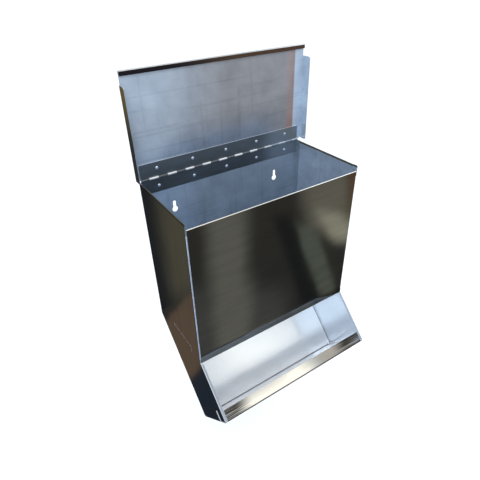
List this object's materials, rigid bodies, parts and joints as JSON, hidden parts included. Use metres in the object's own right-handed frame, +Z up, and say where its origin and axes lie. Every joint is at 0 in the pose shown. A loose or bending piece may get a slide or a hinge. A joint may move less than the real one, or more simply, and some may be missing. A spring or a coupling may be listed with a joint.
{
  "type": "gravity poultry feeder",
  "caption": "Wall-hung sheet-steel feeder: hinged lid, hopper narrowing to a sloped floor behind an inner baffle, and an open trough with a folded lip.",
  "frame": {"origin": "midway between the two round keyhole entries, on the wall face of the back sheet", "axes": "+X to the right seen from the front, +Y into the wall, +Z up; the trough opens towards -Y"},
  "size_m": [0.412, 0.2862, 0.7413],
  "materials": {
    "body_sheet": "bright rolled steel with soft vertical streaks",
    "inner_sheet": "bright rolled steel, blurred reflections",
    "lid_sheet": "bright rolled steel, faint mottling",
    "hinge_leaf": "dark satin steel",
    "hinge_pin": "drawn wire",
    "rivet": "bright domed heads"
  },
  "bodies": {
    "hopper": {"left_side": "body_sheet", "right_side": "body_sheet", "back_sheet": "inner_sheet", "front_panel": "body_sheet", "trough_front": "body_sheet", "feed_baffle": "inner_sheet", "hinge_lower_leaf": "hinge_leaf", "hinge_pin": "hinge_pin", "lower_rivets": "rivet"},
    "lid": {"lid": "lid_sheet", "hinge_upper_leaf": "hinge_leaf", "upper_rivets": "rivet"}
  },
  "joints": [
    {"name": "lid_hinge", "type": "hinge", "parent": "hopper", "child": "lid", "pos_m": [0, -0.00355, 0.0835], "axis": [1, 0, 0], "range_deg": [0, 91.7]}
  ]
}
